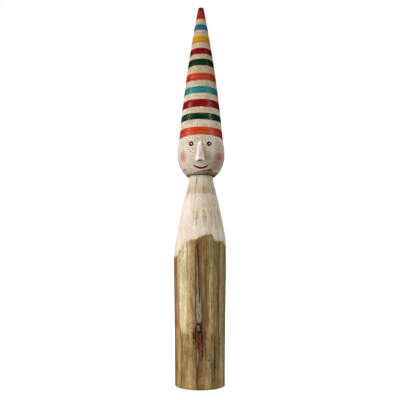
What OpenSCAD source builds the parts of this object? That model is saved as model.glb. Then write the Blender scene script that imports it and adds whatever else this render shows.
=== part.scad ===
// Tomte gnome: a debarked log sharpened to a neck, with a turned head, a tall
// striped hat and a whittled nose. Millimetres, +Z up, face towards -Y.
// The origin is where the turning axis meets the flat foot.

/* [Trunk] */
// Height of the untouched round of the trunk, foot to the lowest start of the shoulder
trunk_h = 181; // [140:1:260]
// Mean diameter of the trunk where the shoulder starts
trunk_d = 77.6; // [68:0.2:96]
// Mean diameter of the trunk at the foot
foot_d = 73.2; // [60:0.2:84]
// How far the trunk's middle lies to the -X side of the turning axis
trunk_shift = 1.9; // [0:0.1:4]
// How much wider than deep the trunk is, as a radius
trunk_oval = 1.5; // [0:0.1:2.5]
// Depth of the shallow flutes that run up the trunk, as a radius
flute_depth = 0.8; // [0:0.1:1.2]
// Height of the worn edge round the foot
foot_wear = 1.6; // [0.4:0.1:4]

/* [Shoulder and neck] */
// Height of the sharpened shoulder, from the trunk to the neck
shoulder_h = 128; // [90:1:180]
// How far the shoulder swells out past a straight cone
shoulder_belly = 3; // [0:0.1:3.8]
// Diameter of the neck
neck_d = 37.8; // [30:0.2:44]
// Height of the straight neck under the head
neck_h = 7.7; // [2:0.1:20]

/* [Head] */
// Height of the head, neck to brim
head_h = 60.6; // [50:0.2:80]
// How much turning takes off the branch at the head's widest, as a radius
head_cut = 1.7; // [0.5:0.1:5]
// Height of the widest place above the head's own foot
head_wide_h = 34.3; // [24:0.1:42]
// Diameter of the head's flat foot
head_foot_d = 43.4; // [38:0.2:52]
// Diameter of the head's flat top, where the hat sits
head_top_d = 67.4; // [52:0.2:72]
// How far the face is turned towards -X, in degrees
face_turn = 2.4; // [-10:0.1:10]

/* [Hat] */
// Height of the hat, brim to tip
hat_h = 220.6; // [160:0.2:280]
// How far the brim stands out past the head, as a radius
brim_ledge = 0.6; // [0:0.1:3]
// Diameter of the blunt tip
tip_d = 8.4; // [4:0.1:14]
// How far the hat swells out past a straight cone
hat_belly = 2.8; // [0:0.1:6]
// Thickness of a brushed coat of paint
paint_t = 0.3; // [0.2:0.05:0.6]

/* [Nose] */
// Length of the nose
nose_h = 30; // [20:0.5:36]
// Height of the nose's lower end above the head's foot
nose_z = 18; // [14:0.2:22]
// Width of the nose at its lower end
nose_w = 13.6; // [10:0.2:18]
// Width of the nose at its upper end
nose_top_w = 5.6; // [4:0.2:9]
// How far the lower end stands out from the head
nose_reach = 9.5; // [6:0.1:14]
// How far the upper end stands out from the head
nose_top_reach = 1.8; // [1:0.1:5]
// How deep the nose's flat back is let into the head
nose_inlet = 2.4; // [1:0.1:4]
// Height of the gouge cut that hollows the lower end
nostril_h = 2.2; // [1:0.1:4]

/* [Painted face] */
// Height of the eyes' middles above the head's foot
eye_z = 45.6; // [38:0.2:50]
// Distance between the eyes' middles
eye_gap = 27.8; // [22:0.2:36]
// Diameter of an eye
eye_d = 6.6; // [4:0.1:9]
// Diameter of the white glint in an eye
glint_d = 2.8; // [1:0.1:3.4]
// Height of the mouth's corners above the head's foot
mouth_z = 13.6; // [10:0.1:15]
// Width of the mouth, corner to corner
mouth_w = 22.4; // [14:0.2:26]
// How far the mouth's middle lies to the +X side of the nose
mouth_shift = 1.2; // [0:0.1:3]
// How far the smile hangs below its corners
smile_drop = 4.6; // [2:0.1:6]
// Width of the mouth's brush stroke
mouth_stroke = 1.9; // [1:0.1:3]
// Height of the cheeks' middles above the head's foot
cheek_z = 27.6; // [20:0.2:32]
// Angle from the nose round to each cheek, in degrees
cheek_turn = 49; // [38:1:60]
// Width of a cheek's blush
cheek_w = 12; // [8:0.5:16]
// Height of a cheek's blush
cheek_h = 17; // [17:0.5:24]

/* [Dowels] */
// Diameter of the dowels that join head to neck and hat to head
dowel_d = 12; // [8:0.5:16]
// How deep a dowel goes into each piece
dowel_reach = 24; // [15:0.5:28]
// Glue room round a dowel, as a radius
dowel_fit = 0.05; // [0.02:0.01:0.1]
// Glue room past each end of a dowel
dowel_end_room = 1; // [0.5:0.1:2]
// Depth of the glue grooves along a dowel
groove_depth = 0.6; // [0.3:0.1:1]

/* [Scar, knot and drying checks] */
// Height of the scar's round lower end above the foot
scar_z = 95; // [90:1:110]
// Length of the scar up the front of the trunk
scar_h = 110; // [60:1:120]
// Width of the scar at its lower end
scar_w = 9; // [6:0.2:12]
// Width of the scar at its upper end
scar_top_w = 4; // [2:0.2:6]
// Depth of the scar
scar_depth = 1.8; // [1:0.1:4]
// Height of the healed knot's middle above the foot
knot_z = 86; // [70:1:88]
// Diameter of the healed knot
knot_d = 6.4; // [5:0.2:10]
// Depth of the knot's sunken ring
knot_depth = 1.4; // [1:0.1:3]
// Width of the drying checks at their widest
check_w = 2.4; // [1:0.1:4]
// Depth of the drying checks
check_depth = 4; // [2:0.5:8]
// Length of the check that runs down from the top of the neck
neck_check_h = 28; // [10:1:40]

/* [Hidden] */

// Colours of the bare woods and the paints
trunk_color = [0.60, 0.48, 0.30];
bare_wood_color = [0.80, 0.72, 0.60];
dowel_color = [0.78, 0.62, 0.42];
nose_color = [0.93, 0.84, 0.80];
orange_paint = [0.77, 0.22, 0.11];
green_paint = [0.08, 0.20, 0.13];
crimson_paint = [0.57, 0.06, 0.08];
teal_paint = [0.17, 0.47, 0.46];
blue_paint = [0.08, 0.36, 0.46];
yellow_paint = [0.79, 0.54, 0.07];
black_paint = [0.10, 0.10, 0.10];
white_paint = [0.88, 0.89, 0.92];
mouth_paint = [0.48, 0.10, 0.12];
blush_paint = [0.76, 0.45, 0.42];

// Heights of the joints above the foot
neck_z = trunk_h + shoulder_h;
head_z = neck_z + neck_h;
brim_z = head_z + head_h;

// How far a cutter runs on past what it cuts
past = 1;

// Radius of a cone from r_from to r_to that swells by belly halfway, at share t of its length
function bellied(r_from, r_to, belly, t) = r_from + (r_to - r_from) * t + 4 * belly * t * (1 - t);
function total(values) = values * [for (v = values) 1];

// ---- Dowels ----

dowel_r = dowel_d / 2;
dowel_chamfer = dowel_d / 12;
groove_n = 8;
groove_r = groove_depth * 1.5;

// A stub dowel across the joint at height z, with chamfered ends and glue grooves
module dowel(z) {
    color(dowel_color)
        translate([0, 0, z])
        difference() {
            rotate_extrude($fn = 64)
                polygon([
                    [0, -dowel_reach],
                    [dowel_r - dowel_chamfer, -dowel_reach],
                    [dowel_r, -dowel_reach + dowel_chamfer],
                    [dowel_r, dowel_reach - dowel_chamfer],
                    [dowel_r - dowel_chamfer, dowel_reach],
                    [0, dowel_reach]
                ]);
            for (k = [0 : groove_n - 1])
                rotate([0, 0, 360 * k / groove_n])
                    translate([dowel_r - groove_depth + groove_r, 0, -dowel_reach - past])
                    cylinder(h = 2 * (dowel_reach + past), r = groove_r, $fn = 24);
        }
}

// The blind holes for that dowel in the two pieces it joins
module dowel_holes(z) {
    reach = dowel_reach + dowel_end_room;
    translate([0, 0, z - reach])
        cylinder(h = 2 * reach, r = dowel_r + dowel_fit, $fn = 64);
}

// ---- Trunk, shoulder and neck ----

trunk_sides = 72;
trunk_rings = 12;
// Flutes of the natural round: share of flute_depth, count, phase, turn from foot to head
flutes = [[0.3, 3, 95, 30], [0.3, 5, 80, 40], [0.25, 7, 10, -40], [0.15, 11, 250, -50]];
// Turn of the oval's wide way from the X axis
oval_turn = 7;
shoulder_r = trunk_d / 2 + trunk_oval + trunk_shift;
log_r = max(trunk_d, foot_d) / 2 + trunk_oval + flute_depth + trunk_shift + past;

function flute(a, share) =
    flute_depth * total([for (f = flutes) f[0] * cos(f[1] * a + f[2] + f[3] * share)]);
function trunk_r(a, z) =
    foot_d / 2 + (trunk_d - foot_d) / 2 * min(z / trunk_h, 1)
        + trunk_oval * cos(2 * (a + oval_turn)) + flute(a, z / head_z);
function shoulder_r_at(z) = bellied(shoulder_r, neck_d / 2, shoulder_belly, (z - trunk_h) / shoulder_h);
function trunk_point(a, z, worn = 0) =
    let (r = trunk_r(a, z) - worn)
    [r * cos(a) - trunk_shift, r * sin(a), z];

// The debarked log before it is sharpened, a little long at both ends
module natural_log() {
    ring_h = (head_z - foot_wear + past) / trunk_rings;
    turn = 360 / trunk_sides;
    around = [0 : trunk_sides - 1];
    corners = [
        for (k = around) trunk_point(k * turn, -past, foot_wear + past),
        for (i = [0 : trunk_rings]) for (k = around) trunk_point(k * turn, foot_wear + i * ring_h)
    ];
    top = (trunk_rings + 1) * trunk_sides;
    sides = [
        for (i = [0 : trunk_rings]) for (k = around)
            let (a = i * trunk_sides + k, b = i * trunk_sides + (k + 1) % trunk_sides)
            each [[a, a + trunk_sides, b], [b, a + trunk_sides, b + trunk_sides]]
    ];
    polyhedron(corners, [[for (k = around) k], each sides, [for (k = around) top + trunk_sides - 1 - k]]);
}

// What saw and sharpener leave of it: flat foot, swelling shoulder that runs out on the round, neck
module sharpened_outline() {
    steps = 12;
    neck_r = neck_d / 2;
    run_out = (log_r - shoulder_r) * shoulder_h / (shoulder_r - neck_r - 4 * shoulder_belly);
    rotate_extrude($fn = 96)
        polygon([
            [0, 0],
            [log_r, 0],
            [log_r, trunk_h - run_out],
            for (i = [0 : steps])
                let (z = trunk_h + shoulder_h * i / steps)
                [shoulder_r_at(z), z],
            [neck_r, head_z],
            [0, head_z]
        ]);
}

// Puts its children on the wood at height z, r out from the middle at middle_x, with the
// way into the wood along +Y. Turn is the place round it, from the front towards +X.
module on_wood(turn, z, r, middle_x) {
    translate([middle_x, 0, z])
        rotate([0, 0, turn])
        translate([0, -r, 0])
        children();
}

// Places on the front of the trunk, as turns from the front towards +X
scar_turn = -6;
knot_turn = -4.5;

// A healed scar: a shallow groove that widens downwards to a round end
module scar() {
    low_r = scar_w / 2;
    top_r = scar_top_w / 2;
    low_z = scar_z + low_r;
    top_z = scar_z + scar_h - top_r;
    hull() {
        on_wood(scar_turn, low_z, trunk_r(scar_turn - 90, low_z) + low_r - scar_depth, -trunk_shift)
            sphere(r = low_r, $fn = 32);
        on_wood(scar_turn, top_z, trunk_r(scar_turn - 90, top_z) + top_r - scar_depth, -trunk_shift)
            sphere(r = top_r, $fn = 32);
    }
}

// The healed knot where a twig stood: a sunken ring round a low boss
module knot_ring() {
    boss_h = knot_depth * 0.7;
    boss_d = knot_d / 2;
    on_wood(knot_turn, knot_z, trunk_r(knot_turn - 90, knot_z) - knot_depth, -trunk_shift)
        rotate([90, 0, 0])
        difference() {
            cylinder(h = knot_depth + 2 * past, d = knot_d, $fn = 48);
            translate([0, 0, -past])
                cylinder(h = boss_h + past, d = boss_d, $fn = 48);
        }
}

// A drying check: a slit with pointed ends that narrows towards the pith, drawn round its
// own middle. Share is its part of the full width and depth.
module drying_check(length, share) {
    steps = 5;
    narrowing = [0.3, 0.94];
    edge = [
        for (i = [-steps : steps])
            let (t = i / steps)
            [share * check_w / 2 * (1 - t * t), length / 2 * t]
    ];
    translate([0, -past, 0])
        rotate([-90, 0, 0])
        linear_extrude(height = share * check_depth + past, scale = narrowing)
        polygon([each edge, for (i = [2 * steps - 1 : -1 : 1]) [-edge[i].x, edge[i].y]]);
}

// Checks in the trunk: turn, lower end, upper end, share of the full width and depth
trunk_checks = [[-5, 34, 61, 1], [35, 20, 68, 0.7]];
neck_check_turn = -23;
neck_check_share = 0.7;

// Half of the neck's check shows: its widest place is at the end grain, and it lies along the shoulder
module neck_check() {
    low_r = shoulder_r_at(head_z - neck_check_h);
    lean = atan((low_r - neck_d / 2) / neck_check_h);
    on_wood(neck_check_turn, head_z, neck_d / 2, 0)
        rotate([-lean, 0, 0])
        drying_check(2 * neck_check_h / cos(lean), neck_check_share);
}

module log_body() {
    color(trunk_color)
        difference() {
            intersection() {
                natural_log();
                sharpened_outline();
            }
            dowel_holes(head_z);
            scar();
            knot_ring();
            for (c = trunk_checks)
                let (middle = (c[1] + c[2]) / 2)
                on_wood(c[0], middle, trunk_r(c[0] - 90, middle), -trunk_shift)
                    drying_check(c[2] - c[1], c[3]);
            neck_check();
        }
}

// ---- Head ----

head_r = trunk_d / 2 - head_cut;
head_steps = 20;

// Two quarter ellipses that meet at the widest place; z is above the head's foot
function quarter_r(rise, full_rise, end_r) =
    head_r * sqrt(1 - (1 - pow(end_r / head_r, 2)) * pow(rise / full_rise, 2));
function head_r_at(z) = z < head_wide_h
    ? quarter_r(head_wide_h - z, head_wide_h, head_foot_d / 2)
    : quarter_r(z - head_wide_h, head_h - head_wide_h, head_top_d / 2);

// The head's round, with coats of paint where they are wanted
module head_round(coats = 0) {
    rotate_extrude($fn = 128)
        polygon([
            [0, 0],
            for (i = [0 : head_steps])
                let (z = head_h * i / head_steps)
                [head_r_at(z) + coats * paint_t, z],
            [0, head_h]
        ]);
}

// Everything on the face is turned with it
module on_head() {
    translate([0, 0, head_z])
        rotate([0, 0, -face_turn])
        children();
}

module head() {
    color(bare_wood_color)
        difference() {
            on_head()
                difference() {
                    head_round();
                    nose_blank();
                }
            dowel_holes(head_z);
            dowel_holes(brim_z);
        }
}

// ---- Nose ----

nose_low_y = -head_r_at(nose_z) - nose_reach;
nose_top_y = -head_r_at(nose_z + nose_h) - nose_top_reach;
nose_back_y = -min(head_r_at(nose_z), head_r_at(nose_z + nose_h)) + nose_inlet;

// One end of the nose: a half round with straight sides running back
module nose_end(width, front_y) {
    translate([0, front_y + width / 2])
        circle(d = width, $fn = 32);
    translate([-width / 2, nose_back_y - past])
        square([width, past]);
}

// A whittled peg, thicker below, with a flat back
module nose_blank() {
    skin = 0.01;
    translate([0, 0, nose_z])
        hull() {
            linear_extrude(height = skin)
                nose_end(nose_w, nose_low_y);
            translate([0, 0, nose_h - skin])
                linear_extrude(height = skin)
                nose_end(nose_top_w, nose_top_y);
        }
}

module nose() {
    color(nose_color)
        on_head()
        difference() {
            nose_blank();
            translate([0, -head_r_at(nose_z), nose_z + nostril_h - nose_w / 2])
                rotate([90, 0, 0])
                cylinder(h = nose_reach + past, d = nose_w, $fn = 48);
        }
}

// ---- Hat ----

brim_r = head_top_d / 2 + brim_ledge;

// Stripes from the brim up: paint, then lower and upper edge in shares of the even pitch.
// The last one runs over the tip.
stripes = [
    [orange_paint, 0, 0.54],
    [green_paint, 1.08, 1.56],
    [crimson_paint, 2.05, 2.58],
    [teal_paint, 3.07, 3.57],
    [orange_paint, 4.06, 4.61],
    [green_paint, 5.17, 5.70],
    [crimson_paint, 6.06, 6.56],
    [yellow_paint, 7.01, 7.58],
    [blue_paint, 8.04, 8.51],
    [orange_paint, 8.95, 9.92]
];

function stripe_z(pitches) = hat_h * pitches / stripes[len(stripes) - 1][2];
function stripe_node(i) = str("hat_stripe_", i < 9 ? "0" : "", i + 1);
function hat_r_at(z) = bellied(brim_r, tip_d / 2, hat_belly, z / hat_h);

module hat() {
    edges = [for (s = stripes) each [stripe_z(s[1]), stripe_z(s[2])]];
    color(bare_wood_color)
        difference() {
            translate([0, 0, brim_z])
                rotate_extrude($fn = 128)
                polygon([
                    [0, 0],
                    for (z = edges) [hat_r_at(z), z],
                    [0, hat_h]
                ]);
            dowel_holes(brim_z);
        }
}

// A band of paint on the hat; the topmost one also caps the tip
module hat_stripe(stripe) {
    low = stripe_z(stripe[1]);
    high = stripe_z(stripe[2]);
    outline = [
        [hat_r_at(low), low],
        [hat_r_at(low) + paint_t, low],
        [hat_r_at(high) + paint_t, high]
    ];
    cap = [[tip_d / 2 + paint_t, hat_h + paint_t], [0, hat_h + paint_t], [0, hat_h]];
    color(stripe[0])
        translate([0, 0, brim_z])
        rotate_extrude($fn = 128)
        polygon(high < hat_h
            ? [each outline, [hat_r_at(high), high]]
            : [outline[0], outline[1], each cap, [tip_d / 2, hat_h]]);
}

// ---- Painted face ----

// A coat of paint on the head where the cutter given as children reaches it
module face_paint(paint, under = 0) {
    color(paint)
        on_head()
        intersection() {
            difference() {
                head_round(under + 1);
                head_round(under);
            }
            children();
        }
}

// Places a round dot on the face at eye height; side is -1 or 1
module at_eye(side) {
    turn = asin(eye_gap / 2 / head_r_at(eye_z));
    rotate([0, 0, side * turn])
        translate([0, 0, eye_z])
        rotate([90, 0, 0])
        children();
}

module eye(side) {
    face_paint(black_paint)
        at_eye(side)
        cylinder(h = 2 * head_r, d = eye_d, $fn = 48);
}

module eye_glints() {
    face_paint(white_paint, 1) {
        at_eye(-1)
            cylinder(h = 2 * head_r, d = glint_d, $fn = 32);
        at_eye(1)
            cylinder(h = 2 * head_r, d = glint_d, $fn = 32);
    }
}

// A smile: the lower arc of a ring through the mouth's corners
module mouth() {
    arc_r = (pow(mouth_w / 2, 2) + pow(smile_drop, 2)) / (2 * smile_drop);
    face_paint(mouth_paint)
        translate([mouth_shift, 0, mouth_z - smile_drop + arc_r])
        rotate([90, 0, 0])
        linear_extrude(height = 2 * head_r)
        intersection() {
            difference() {
                circle(r = arc_r + mouth_stroke / 2, $fn = 96);
                circle(r = arc_r - mouth_stroke / 2, $fn = 96);
            }
            translate([-mouth_w, -arc_r - mouth_stroke])
                square([2 * mouth_w, smile_drop + mouth_stroke]);
        }
}

// A blush is an upright round-ended patch
module cheek(side) {
    face_paint(blush_paint)
        rotate([0, 0, side * cheek_turn])
        translate([0, 0, cheek_z])
        rotate([90, 0, 0])
        linear_extrude(height = 2 * head_r)
        for (end = [-1, 1])
            translate([0, end * (cheek_h - cheek_w) / 2]) {
                circle(d = cheek_w, $fn = 64);
                translate([-cheek_w / 2, -max(end, 0) * (cheek_h - cheek_w) / 2])
                    square([cheek_w, (cheek_h - cheek_w) / 2]);
            }
}

log_body();
dowel(head_z);  // neck_dowel
head();
dowel(brim_z);  // hat_dowel
hat();
nose();
for (i = [0 : len(stripes) - 1])
    hat_stripe(stripes[i]);
eye(1);  // left_eye
eye(-1);  // right_eye
eye_glints();
mouth();
cheek(1);  // left_cheek
cheek(-1);  // right_cheek
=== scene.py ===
import math

import bmesh
import bpy
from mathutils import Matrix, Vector, noise


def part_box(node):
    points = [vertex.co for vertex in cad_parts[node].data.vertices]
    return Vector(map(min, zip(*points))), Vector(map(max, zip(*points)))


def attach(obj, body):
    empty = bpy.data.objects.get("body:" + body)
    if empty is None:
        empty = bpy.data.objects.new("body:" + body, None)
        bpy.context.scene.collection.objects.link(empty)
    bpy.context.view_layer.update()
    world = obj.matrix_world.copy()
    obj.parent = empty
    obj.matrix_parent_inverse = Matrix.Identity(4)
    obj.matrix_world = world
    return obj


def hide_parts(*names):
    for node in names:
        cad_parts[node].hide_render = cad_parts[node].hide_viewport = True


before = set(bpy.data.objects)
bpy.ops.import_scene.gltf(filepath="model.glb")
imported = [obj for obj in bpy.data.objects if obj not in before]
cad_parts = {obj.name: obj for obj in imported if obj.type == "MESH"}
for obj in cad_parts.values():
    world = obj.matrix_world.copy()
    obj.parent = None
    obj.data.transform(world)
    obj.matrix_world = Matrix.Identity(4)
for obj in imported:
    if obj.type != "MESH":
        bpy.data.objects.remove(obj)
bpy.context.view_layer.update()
mm = 0.001

# Heights of the joints, read from the solids, in millimetres
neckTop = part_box("log_body")[1].z / mm
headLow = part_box("head")[0].z / mm
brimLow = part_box("hat")[0].z / mm
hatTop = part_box("hat")[1].z / mm
print("frame: neck", round(neckTop, 1), "brim", round(brimLow, 1), "tip", round(hatTop, 1))


# Small helpers

def hexColour(code):
    parts = [int(code[i:i + 2], 16) / 255 for i in (0, 2, 4)]
    return [p / 12.92 if p <= 0.04045 else ((p + 0.055) / 1.055) ** 2.4 for p in parts] + [1]


def mix(a, b, share):
    return a + (b - a) * share


def ease(value, low, high):
    # 0 below low, 1 above high, smooth between
    share = min(max((value - low) / (high - low), 0), 1)
    return share * share * (3 - 2 * share)


def bellied(start, end, belly, share):
    # a straight taper that swells by belly halfway
    return mix(start, end, share) + 4 * belly * share * (1 - share)


def steps(low, high, gap):
    # heights from low to high, evenly about gap apart
    count = max(1, round((high - low) / gap))
    return [mix(low, high, i / count) for i in range(count + 1)]


def eased(points, value):
    # reading at value of a list of (place, value) pairs
    for (low, a), (high, b) in zip(points, points[1:]):
        if value <= high:
            return mix(a, b, ease(value, low, high))
    return points[-1][1]


def frontTurn(x, y):
    # degrees round the axis, from the face towards +X
    return math.degrees(math.atan2(x, -y))


def around(turn, radius):
    # the place at this turn from the front
    angle = math.radians(turn)
    return radius * math.sin(angle), -radius * math.cos(angle)


def arcFrom(turn, centre, radius):
    # millimetres round the surface from the line at centre
    return math.radians((turn - centre + 180) % 360 - 180) * radius


def rough(x, y, z, across, run, seed=0):
    # smooth noise that is drawn out along the grain; sizes in millimetres
    return noise.noise(Vector((x / across + seed * 7.3, y / across - seed * 3.1, z / run + seed * 1.7)))


def sculpt(bm, place, labels=()):
    # place gets a vertex in millimetres and gives its new place, then a value for each label
    layers = [bm.verts.layers.float.new(label) for label in labels]
    for vert in bm.verts:
        x, y, z, *values = place(*(vert.co / mm))
        vert.co = Vector((x, y, z)) * mm
        for layer, value in zip(layers, values):
            vert[layer] = value


def addObject(name, data):
    made = bpy.data.objects.new(name, data)
    bpy.context.scene.collection.objects.link(made)
    return made


def finishMesh(bm, name, material):
    # merges, points the faces outwards and makes the object
    bmesh.ops.remove_doubles(bm, verts=bm.verts, dist=0.00001)
    bmesh.ops.recalc_face_normals(bm, faces=bm.faces)
    for face in bm.faces:
        face.smooth = True
    mesh = bpy.data.meshes.new(name)
    bm.to_mesh(mesh)
    bm.free()
    mesh.materials.append(material)
    print(name, len(mesh.polygons), "faces")
    return addObject(name, mesh)


def turned(outline, sides, closed=False):
    # spins an outline of (radius, height) points round the Z axis
    bm = bmesh.new()
    verts = [bm.verts.new((r * mm, 0, z * mm)) for r, z in outline]
    edges = [bm.edges.new(pair) for pair in zip(verts, verts[1:])]
    if closed:
        edges.append(bm.edges.new((verts[-1], verts[0])))
    bmesh.ops.spin(bm, geom=verts + edges, cent=(0, 0, 0), axis=(0, 0, 1), angle=2 * math.pi,
                   steps=sides, use_merge=True, use_duplicate=False)
    bmesh.ops.remove_doubles(bm, verts=bm.verts, dist=0.00001)
    return bm


# Shader helpers. A signal is a value or colour on its way through a node tree: sums and products
# of signals become Math nodes. A fixed colour is given as its hex code

class Signal:
    def __init__(self, tree, socket):
        self.tree = tree
        self.socket = socket

    def maths(self, operation, other=0.0, swapped=False):
        a, b = (other, self) if swapped else (self, other)
        return addNode(self.tree, "Math", {0: a, 1: b}, operation=operation)

    def __add__(self, other):
        return self.maths("ADD", other)

    __radd__ = __add__

    def __sub__(self, other):
        return self.maths("SUBTRACT", other)

    def __rsub__(self, other):
        return self.maths("SUBTRACT", other, swapped=True)

    def __mul__(self, other):
        return self.maths("MULTIPLY", other)

    def __truediv__(self, other):
        return self.maths("DIVIDE", other)

    def __abs__(self):
        return self.maths("ABSOLUTE")


def addNode(tree, kind, inputs=None, out=0, **settings):
    # gives the signal of one output, or of several when out is a tuple
    made = tree.nodes.new("ShaderNode" + kind)
    for key, value in settings.items():
        setattr(made, key, value)
    for key, value in (inputs or {}).items():
        if isinstance(value, Signal):
            tree.links.new(value.socket, made.inputs[key])
        else:
            made.inputs[key].default_value = hexColour(value) if isinstance(value, str) else value
    if isinstance(out, tuple):
        return [Signal(tree, made.outputs[label]) for label in out]
    return Signal(tree, made.outputs[out])


def ramped(value, low, high, start=0.0, end=1.0, kind="SMOOTHSTEP"):
    # start where value is low, end where it is high
    return addNode(value.tree, "MapRange", {"Value": value, "From Min": low, "From Max": high,
                                            "To Min": start, "To Max": end}, interpolation_type=kind)


def band(value, low, full, falling, high):
    # 0 below low and above high, 1 between full and falling
    return ramped(value, low, full) * ramped(value, falling, high, 1.0, 0.0)


def blend(share, under, over, kind="MIX"):
    # over laid on under by share
    tree = next(value.tree for value in (share, under, over) if isinstance(value, Signal))
    return addNode(tree, "Mix", {0: share, 6: under, 7: over}, 2, data_type="RGBA", blend_type=kind)


def vectorMaths(operation, a, b=(0, 0, 0), c=(0, 0, 0), out=0):
    return addNode(a.tree, "VectorMath", {0: a, 1: b, 2: c}, out, operation=operation)


def fuzz(place, scale, detail, out="Fac", roughness=0.5):
    # cloudy noise; scale is in waves per metre
    return addNode(place.tree, "TexNoise", {"Vector": place, "Scale": scale, "Detail": detail,
                                            "Roughness": roughness}, out)


def split(place):
    return addNode(place.tree, "SeparateXYZ", {0: place}, ("X", "Y", "Z"))


def attribute(place, name):
    return addNode(place.tree, "Attribute", out="Fac", attribute_name=name)


def turnShare(x, y):
    # turn round the axis as 0 to 1, with the front at a half
    return x.maths("ARCTAN2", y * -1.0) * (1 / (2 * math.pi)) + 0.5


def towards(place, turn):
    # 1 where the surface lies at this turn from the front, -1 on the far side
    flat = vectorMaths("NORMALIZE", vectorMaths("MULTIPLY", place, (1, 1, 0)))
    return vectorMaths("DOT_PRODUCT", flat, (*around(turn, 1), 0), out="Value")


def ramp(value, stops):
    # colour or plain value by turn; stops run from -180 to 180 degrees
    made = addNode(value.tree, "ValToRGB", {"Fac": value}, "Color")
    elements = made.socket.node.color_ramp.elements
    while len(elements) < len(stops):
        elements.new(0.5)
    for element, (turn, tone) in zip(elements, stops):
        element.position = turn / 360 + 0.5
        element.color = hexColour(tone) if isinstance(tone, str) else (tone, tone, tone, 1)
    return made


def newGroup(name, usual):
    # usual gives each input's label and usual value: a number, a hex code or a vector
    group = bpy.data.node_groups.new(name, "ShaderNodeTree")
    for label, value in usual.items():
        kind = {float: "Float", str: "Color", tuple: "Vector"}[type(value)]
        socket = group.interface.new_socket(label, in_out="INPUT", socket_type="NodeSocket" + kind)
        socket.default_value = hexColour(value) if kind == "Color" else value
    start = group.nodes.new("NodeGroupInput")
    return group, {label: Signal(group, start.outputs[label]) for label in usual}


def closeGroup(group, **results):
    for label in results:
        kind = "NodeSocketColor" if label == "Color" else "NodeSocketFloat"
        group.interface.new_socket(label, in_out="OUTPUT", socket_type=kind)
    end = group.nodes.new("NodeGroupOutput")
    for label, result in results.items():
        group.links.new(result.socket, end.inputs[label])
    return group


def useGroup(group, place, out=0, **inputs):
    return addNode(place.tree, "Group", {"Vector": place, **inputs}, out, node_tree=group)


def newMaterial(name):
    # gives the material and the place of each point on the object
    made = bpy.data.materials.new(name)
    made.use_nodes = True
    return made, addNode(made.node_tree, "TexCoord", out="Object")


def finishMaterial(made, colour, roughness, height, strength, distance, specular=0.5):
    tree = made.node_tree
    shader = tree.nodes["Principled BSDF"]
    shader.inputs["Specular IOR Level"].default_value = specular
    bump = addNode(tree, "Bump", {"Height": height, "Strength": strength, "Distance": distance})
    for label, signal in (("Base Color", colour), ("Roughness", roughness), ("Normal", bump)):
        tree.links.new(signal.socket, shader.inputs[label])
    return made


# Grain: noise drawn out along Z, or round the axis when Along is the finer one
def makeGrainGroup():
    group, ins = newGroup("grain", {"Vector": (0.0, 0.0, 0.0), "Across": 300.0, "Along": 12.0, "Detail": 3.0,
                                    "Low": 0.35, "High": 0.65})
    stretch = addNode(group, "CombineXYZ", {0: ins["Across"], 1: ins["Across"], 2: ins["Along"]})
    cloud = fuzz(vectorMaths("MULTIPLY", ins["Vector"], stretch), 1.0, ins["Detail"], roughness=0.55)
    return closeGroup(group, Value=ramped(cloud, ins["Low"], ins["High"]))


def grain(place, across, run, detail, low, high):
    # waves per metre across and along, detail, and the part of the noise's range that is used
    return useGroup(grainGroup, place, Across=across, Along=run, Detail=detail, Low=low, High=high)


# Spot: a soft-edged blot round a centre, with a wandering rim
def makeSpotGroup():
    group, ins = newGroup("spot", {"Vector": (0.0, 0.0, 0.0), "Centre": (0.0, 0.0, 0.0),
                                   "Reach": (0.01, 0.01, 0.01), "Soft": 0.5, "Wander": 0.2, "Scale": 200.0})
    away = vectorMaths("SUBTRACT", ins["Vector"], ins["Centre"])
    length = vectorMaths("LENGTH", vectorMaths("DIVIDE", away, ins["Reach"]), out="Value")
    wander = (fuzz(ins["Vector"], ins["Scale"], 2.0) - 0.5) * ins["Wander"]
    return closeGroup(group, Mask=ramped(length + wander, 1.0 - ins["Soft"], 1.0, 1.0, 0.0))


def spot(place, centre, reach, soft, wander, scale):
    # reach is in millimetres along X, Y and Z
    return useGroup(spotGroup, place, Centre=tuple(centre), Reach=tuple(part * mm for part in reach),
                    Soft=soft, Wander=wander, Scale=scale)


def stained(colour, place, marks, surface, soft, wander, scale, kept=lambda height: 1.0):
    # a spot for each mark; kept says how much of it stays at its height
    for turn, height, across, up, code, strength in marks:
        mask = spot(place, surface(turn, height), (across, across, up), soft, wander, scale)
        colour = blend(mask * kept(height) * strength, colour, code)
    return colour


# Streak: a narrow run along the log at one turn from the front, between two heights
def makeStreakGroup():
    group, ins = newGroup("streak", {"Vector": (0.0, 0.0, 0.0), "Turn": 0.0, "Low": 0.0, "High": 0.1,
                                     "Width": 0.002, "Soft": 0.002, "Wander": 0.002})
    x, y, z = split(ins["Vector"])
    radius = (x * x + y * y).maths("SQRT")
    arc = (x.maths("ARCTAN2", y * -1.0) - ins["Turn"].maths("RADIANS")) * radius
    run = addNode(group, "CombineXYZ", {2: z * 28.0})
    away = abs(arc + (fuzz(run, 1.0, 2.0) - 0.5) * ins["Wander"])
    middle = (ins["Low"] + ins["High"]) * 0.5
    share = abs((z - middle) / ((ins["High"] - ins["Low"]) * 0.5))
    room = ins["Width"] * (1.0 - share.maths("POWER", 3.0)) - away
    ends = ramped(share, 0.9, 1.0, 1.0, 0.0)
    return closeGroup(group, Mask=ramped(room / ins["Soft"], -1.0, 1.0) * ends)


def streaked(colour, place, marks, wander, soft=None, kept=lambda high: 1.0):
    # a streak for each mark, as soft as it is wide unless soft is given
    for turn, low, high, half, code, strength in marks:
        mask = useGroup(streakGroup, place, Turn=turn, Low=low * mm, High=high * mm, Width=half * mm,
                        Soft=soft or half * mm, Wander=wander)
        colour = blend(mask * kept(high) * strength, colour, code)
    return colour


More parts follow.
